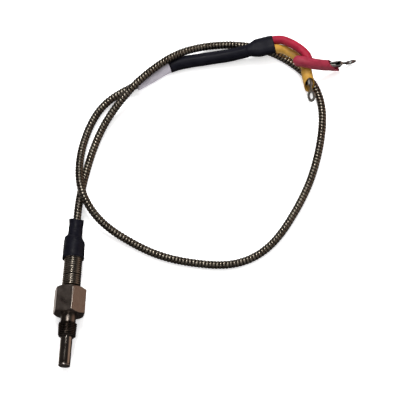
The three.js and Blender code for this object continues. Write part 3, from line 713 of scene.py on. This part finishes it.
def closed_sleeve():
    """The red terminal's sleeve: domed at the rear, cut away over the barrel at its mouth."""
    outer, inner = TERMINAL_SLEEVE_RADIUS, TERMINAL_SLEEVE_BORE / 2
    dome_wall, pole_angle, pole_radius, still_radius = 1.5, 0.12, 0.3, 1
    fold_height, fold_size, wrinkle_height, wrinkle_size = 0.14, 5.0, 0.05, 2.0
    length = red_sleeve.length - TERMINAL_SLEEVE_GAP
    dome = [(outer * math.sin(t), -outer * math.cos(t))
            for t in np.linspace(pole_angle, math.pi / 2, 9)[:-1]]
    body = [(outer, s) for s in np.linspace(0, length - 0.2, 44)]
    lip = [(outer - 0.08, length - 0.05), (outer - 0.2, length), (inner + 0.06, length)]
    hollow = [(inner, s) for s in np.linspace(length - 0.15, dome_wall, 20)]
    profile = np.array(dome + body + lip + hollow + [(pole_radius, dome_wall)])
    radius = np.repeat(profile[:, :1], HOSE_SIDES, 1)
    cut = slanted_mouth(red_sleeve, RED_MOUTH_SLANT, RED_MOUTH_SIDE)
    lengths = profile[:, 1:] - cut(profile[:, 1:], even(HOSE_SIDES)[None, :])
    on_route = np.clip(lengths, 0, None)
    behind = red_sleeve.frames(np.array([0.0]))[3][0] * np.minimum(lengths, 0)[..., None]
    plain = along(red_sleeve, on_route, radius) + behind
    push = fold_height * ripple(plain, fold_size, 41) + wrinkle_height * ripple(plain, wrinkle_size, 44)
    rings = along(red_sleeve, on_route, radius + push * (radius > still_radius)) + behind
    return loft("red_terminal_cover", rings, sharp=SOFT_EDGE)


red_cover = piece(closed_sleeve(), red_sleeving, "red_terminal_sleeve")
yellow_profile = tube_profile(
    TERMINAL_SLEEVE_RADIUS, TERMINAL_SLEEVE_BORE / 2, 0.05, yellow_sleeve.length - TERMINAL_SLEEVE_GAP,
    0.4, 0.15)
yellow_mouth = slanted_mouth(yellow_sleeve, YELLOW_MOUTH_SLANT, YELLOW_MOUTH_SIDE)
yellow_cover = piece(
    hose("yellow_terminal_cover", yellow_sleeve, yellow_profile, wobble=0.12, scale=4.0, seed=51,
         mouth=yellow_mouth),
    yellow_jacket, "yellow_terminal_sleeve")


# ---- the probe ---------------------------------------------------------------------------------
TURNED_SIDES = 96
TURNED_EDGE = 40
POLE_RADIUS = 0.05          # where the tip's flat ends stop, next to the axis


def turned(name, profile, corner, loop=True):
    """A turned piece about the probe's axis. The profile is (radius, place from the tip)."""
    outline = rounded(profile, corner, loop)
    rings = turn(outline[:, :1], outline[:, 1:], even(TURNED_SIDES)[None, :])
    return loft(name, rings, loop, sharp=TURNED_EDGE)


tip = turned("tip", [
    (POLE_RADIUS, 0), (SHEATH_RADIUS, 0), (SHEATH_RADIUS, TIP_CAP_THICKNESS),
    (TIP_PLUG_RADIUS, TIP_CAP_THICKNESS), (TIP_PLUG_RADIUS, TIP_PLUG_END), (POLE_RADIUS, TIP_PLUG_END),
], corner=0.3, loop=False)
piece(tip, tip_steel, "tip_cap")
probe_tube = turned("probe_tube", [
    (SHEATH_RADIUS, TUBE_START), (SHEATH_RADIUS, SHEATH_END),
    (SHEATH_BORE_RADIUS, SHEATH_END), (SHEATH_BORE_RADIUS, TUBE_START),
], corner=0.2)
piece(probe_tube, sheath_steel, "sheath_tube")


def smaller(first, second):
    """The smaller of two radii, rounded over where they are nearly the same."""
    stiffness, middle = 18, 7
    total = np.exp(-stiffness * (first - middle)) + np.exp(-stiffness * (second - middle))
    return -np.log(total) / stiffness + middle


def fitting():
    """Tapered screw thread, neck, and a hexagon whose corners are bevelled at both ends."""
    sides_per_flat, crowding, sharpness, edge = 32, 0.12, 70, 25
    rings_per_turn, flank_gain, crest_share = 12, 1.12, 0.06
    front_step, front_bevel, run_out_slope = 0.1, 1.2, 1.6
    thread_shade, neck_shade, bore_gap, rim_width, past_chamfer = 0.9, 0.25, 0.25, 0.4, 5.0
    corner = math.pi / 6 - HEX_ROLL
    t = np.linspace(0, 1, sides_per_flat, endpoint=False)
    sector = t - crowding * np.sin(2 * math.pi * t)
    angles = corner + (np.concatenate([sector + k for k in range(6)])) * math.pi / 3
    flats = np.stack([np.abs(np.cos(angles - corner - math.pi / 6 - k * math.pi / 3)) for k in range(3)])
    hexagon = HEX_ACROSS_FLATS / 2 / (flats**sharpness).sum(0) ** (1 / sharpness)
    rings, grooves = [], []

    def ring(radius, place, groove=0.0):
        rings.append(turn(np.broadcast_to(radius, len(angles)), place, angles))
        grooves.append(np.broadcast_to(groove, len(angles)))

    bore = SHEATH_RADIUS + bore_gap
    neck = NECK_DIAMETER / 2
    ring(bore, THREAD_START)
    for place in np.arange(THREAD_START, NECK_START - 0.01, THREAD_PITCH / rings_per_turn):
        share = (place - THREAD_START) / THREAD_LENGTH
        crest = (THREAD_FRONT_DIAMETER + share * (THREAD_REAR_DIAMETER - THREAD_FRONT_DIAMETER)) / 2
        phase = (place / THREAD_PITCH - angles / (2 * math.pi)) % 1
        slope = np.clip(np.abs(2 * phase - 1) * flank_gain - crest_share, 0, 1)
        bevel = crest - THREAD_DEPTH - front_step + front_bevel * (place - THREAD_START)
        run_out = max(neck + run_out_slope * (NECK_START - place), neck)
        # Painted shade: the thread is darkened towards its roots.
        ring(np.minimum(np.minimum(crest - THREAD_DEPTH * slope, bevel), run_out), place, slope * thread_shade)
    for radius, place in [
        (neck, NECK_START), (neck, HEX_START - 0.5),
        (neck + 0.06, HEX_START - 0.2), (neck + 0.25, HEX_START),
    ]:
        # Painted shade over the recessed neck.
        ring(radius, place, neck_shade)
    rim = HEX_ACROSS_FLATS / 2 - HEX_FACE_INSET
    ring(rim - rim_width, HEX_START)
    ends = np.concatenate([np.linspace(0, 0.4, 7), np.linspace(0.5, 1.3, 9)])
    outline = [(e, HEX_START + e) for e in ends]
    outline += [(past_chamfer, place) for place in np.linspace(HEX_START + 2, HEX_END - 2, 8)]
    outline += [(e, HEX_END - e) for e in ends[::-1]]
    for depth, place in outline:
        cone = rim + depth / HEX_CHAMFER * (HEX_CORNER - rim)
        ring(np.minimum(smaller(hexagon, cone), hexagon), place)
    ring(rim - rim_width, HEX_END)
    ring(bore, HEX_END)
    return loft("threaded_nut", rings, loop=True, groove=np.array(grooves), sharp=edge)


piece(fitting(), fitting_steel, "threaded_fitting")


def spring():
    """A close-wound wire coil with one turn that stands a little open."""
    hex_gap, turns, per_turn, wire_sides, first_angle = 0.7, 17, 40, 18, 1.2
    open_gap, open_turn, open_rate = 0.4, 5.0, 9
    swell, taper, taper_length = 0.12, 0.16, 12
    shade_start, shade_gain = 1.15, 1.6
    start = HEX_END + hex_gap + SPRING_WIRE / 2
    end = HEX_END + SPRING_EXPOSED + SPRING_HIDDEN - SPRING_WIRE / 2
    t = np.linspace(0, turns, turns * per_turn + 1)
    gap = open_gap / (1 + np.exp(-(t - open_turn) * open_rate))
    pitch = (end - start - open_gap) / turns
    place = start + pitch * t + gap
    angle = 2 * math.pi * t + first_angle
    taper_share = np.clip((place - HEX_END) / taper_length, 0, 1)
    centre = turn((SPRING_DIAMETER - SPRING_WIRE) / 2 + swell - taper * taper_share, place, angle)
    outward = np.stack([np.sin(angle), np.zeros_like(angle), np.cos(angle)], -1)
    sideways = np.cross(unit(np.gradient(centre, axis=0)), outward)
    section = even(wire_sides)
    cos, sin = np.cos(section)[None, :, None], np.sin(section)[None, :, None]
    rings = centre[:, None] + SPRING_WIRE / 2 * (outward[:, None] * cos + sideways[:, None] * sin)
    # Painted shade: each turn of wire is darkened on its sides and inside, where the turns meet.
    groove = np.clip(shade_start - shade_gain * np.cos(section), 0, 1)[None, :].repeat(len(t), 0)
    return loft("relief_spring", rings, groove=groove)


piece(spring(), spring_steel, "strain_relief_spring")


def bump_at(place, middle, width):
    """A bell curve: 1 at the middle, and fading out over the width."""
    return np.exp(-((place - middle) / width) ** 2)


def boot():
    """Shrink tube over the spring's end and the armour: ridges show through, and it puckers."""
    sides, rings, edge = 96, 110, 60
    shoulder_skew, ridge_depth, ridge_pitch = 1.1, 0.07, 1.24
    fold_height, fold_size, wrinkle_height, wrinkle_size = 0.3, 4.5, 0.24, 2.6
    pucker_height, puckers = 0.12, 5
    fold_share, deepest, highest = 0.7, -0.45, 0.2
    lean = (0.25, 0, 0)
    shoulder = BOOT_START + BOOT_SHOULDER
    low, high = BOOT_START, PROBE_LENGTH
    outer = np.array([
        (5.7, low), (5.86, low + 0.25), (5.78, low + 2), (5.7, low + 6),
        (5.75, shoulder - 1.5), (5.55, shoulder - 0.3), (5.0, shoulder + 0.5), (4.3, shoulder + 1.3),
        (3.95, shoulder + 2.2), (3.85, shoulder + 4), (3.8, shoulder + 7),
        (3.84, high - 2.6), (3.98, high - 0.6), (3.95, high),
    ])
    inner = [(2.55, high), (2.5, shoulder + 2.2), (5.45, shoulder - 1), (5.45, low)]
    fine, knots = np.linspace(0, 1, rings), np.linspace(0, 1, len(outer))
    radius, place = (np.interp(fine, knots, outer[:, k]) for k in range(2))
    kernel = np.array([1, 2, 3, 2, 1]) / 9
    radius = np.convolve(np.pad(radius, 2, "edge"), kernel, "valid")
    profile = np.vstack([np.stack([radius, place], -1), inner])
    is_skin = (np.arange(len(profile)) < rings)[:, None]
    angles = even(sides)[None, :]
    r = np.repeat(profile[:, :1], sides, 1)
    p = np.repeat(profile[:, 1:], sides, 1)
    near_shoulder = bump_at(p, shoulder, 3.0)
    rim_low, rim_high = bump_at(p, low, 1.5), bump_at(p, high, 1.6)
    p = p - shoulder_skew * np.sin(angles - 0.35) * near_shoulder
    p = p + rim_low * (0.22 + 0.22 * np.sin(angles + 0.6)) - rim_high * (0.9 + 0.4 * np.sin(2 * angles + 1.0))
    plain = turn(r, p, angles)
    ridges = ridge_depth * np.sin(2 * math.pi * p / ridge_pitch) * (p < shoulder - 1)
    folds = fold_height * ripple(plain, fold_size, 61)
    folds = folds + wrinkle_height * ripple(plain * (1, 2.2, 1), wrinkle_size, 66)
    pucker = pucker_height * np.sin(puckers * angles + 0.8 * p) * near_shoulder
    r = r + np.where(is_skin, np.clip(ridges + folds * fold_share + pucker, deepest, highest), 0)
    return loft("boot", turn(r, p, angles) - lean, loop=True, sharp=edge)


piece(boot(), black_shrink, "shrink_boot")

# ---- the pieces inside -------------------------------------------------------------------------
for node, material in {
    "junction_bead": alloy_wire, "positive_thermoelement": alloy_wire, "negative_thermoelement": alloy_wire,
    "ceramic_insulator": ceramic, "end_cement": cement, "braze_ring": braze, "crimp_ferrule": sheath_steel,
    "negative_conductor": glass_wrap, "positive_conductor": glass_wrap,
}.items():
    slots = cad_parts[node].data.materials
    slots.clear()
    slots.append(material)

# ---- floor, light ------------------------------------------------------------------------------
FLOOR_REACH = 6.0
FLOOR_GLOW = 0.45
floor_mesh = bpy.data.meshes.new("floor")
floor_corners = [(x * FLOOR_REACH, y * FLOOR_REACH, 0) for x, y in ((-1, -1), (1, -1), (1, 1), (-1, 1))]
floor_mesh.from_pydata(floor_corners, [], [(0, 1, 2, 3)])
floor = bpy.data.objects.new("floor", floor_mesh)
bpy.context.scene.collection.objects.link(floor)
paper = Finish("paper", roughness=0.9, specular=0.1)
paper.shader.inputs["Base Color"].default_value = (0.9, 0.9, 0.9, 1)
paper.shader.inputs["Emission Color"].default_value = (1, 1, 1, 1)
paper.shader.inputs["Emission Strength"].default_value = FLOOR_GLOW
floor_mesh.materials.append(paper.material)
floor.visible_glossy = False


def area_light(name, place, target, size, power, color=(1, 1, 1), glossy=True):
    data = bpy.data.lights.new(name, "AREA")
    data.shape = "RECTANGLE"
    data.size, data.size_y = size
    data.energy = power
    data.color = color
    light = bpy.data.objects.new(name, data)
    light.location = place
    light.rotation_mode = "QUATERNION"
    light.rotation_quaternion = (Vector(target) - Vector(place)).to_track_quat("-Z", "Y")
    light.visible_glossy = glossy
    bpy.context.scene.collection.objects.link(light)


PROBE = (0, 0, 0)
MIDDLE = (0.06, 0.06, 0)
area_light("key", (-0.13, 0.43, 1.1), PROBE, (0.2, 0.3), 3.4, (1, 0.98, 0.95))
area_light("fill", (0.1, 0.05, 1.7), MIDDLE, (2.6, 2.6), 36, glossy=False)
area_light("rear", (0.0, 0.9, 1.1), MIDDLE, (0.3, 0.25), 18, glossy=False)

world = bpy.data.worlds.new("studio")
bpy.context.scene.world = world
world.use_nodes = True
nodes, links = world.node_tree.nodes, world.node_tree.links
direction = nodes.new("ShaderNodeTexCoord").outputs["Generated"]


def panel(room, toward, fade_start, fade_end, color):
    """Adds a soft round panel to the room. It fades out between two angles, in degrees."""
    dot = nodes.new("ShaderNodeVectorMath")
    dot.operation = "DOT_PRODUCT"
    dot.inputs[1].default_value = Vector(toward).normalized()
    links.new(direction, dot.inputs[0])
    fade = nodes.new("ShaderNodeMapRange")
    fade.interpolation_type = "SMOOTHSTEP"
    fade.inputs["From Min"].default_value = math.cos(math.radians(fade_end))
    fade.inputs["From Max"].default_value = math.cos(math.radians(fade_start))
    links.new(dot.outputs["Value"], fade.inputs["Value"])
    mix = nodes.new("ShaderNodeMix")
    mix.data_type = "RGBA"
    links.new(fade.outputs["Result"], mix.inputs[MIX_FACTOR])
    links.new(room, mix.inputs[MIX_FIRST])
    mix.inputs[MIX_SECOND].default_value = (*color, 1)
    return mix.outputs[MIX_RESULT]


# The room that the steel mirrors: where each panel lies, its two angles and its color.
ROOM_COLOR = (0.03, 0.026, 0.025)
PANELS = [
    ((0.93, 0.35, 0.1), 10, 34, (0.47, 0.34, 0.27)),
    ((-0.38, 0.36, -0.85), 16, 34, (0.7, 0.66, 0.63)),
    ((-0.92, 0.0, -0.4), 6, 20, (0.2, 0.19, 0.17)),
    ((0.02, -0.4, 0.92), 6, 15, (1.6, 1.6, 1.6)),
    ((-0.1, 0.97, 0.2), 8, 24, (0.8, 0.79, 0.77)),
    ((-0.75, -0.6, 0.25), 8, 28, (0.24, 0.23, 0.22)),
    ((0.75, -0.6, 0.25), 8, 28, (0.24, 0.23, 0.22)),
]
plain_room = nodes.new("ShaderNodeRGB")
room = plain_room.outputs["Color"]
room.default_value = (*ROOM_COLOR, 1)
for toward, fade_start, fade_end, color in PANELS:
    room = panel(room, toward, fade_start, fade_end, color)
links.new(room, nodes["Background"].inputs["Color"])
bpy.context.scene.view_settings.view_transform = "Standard"
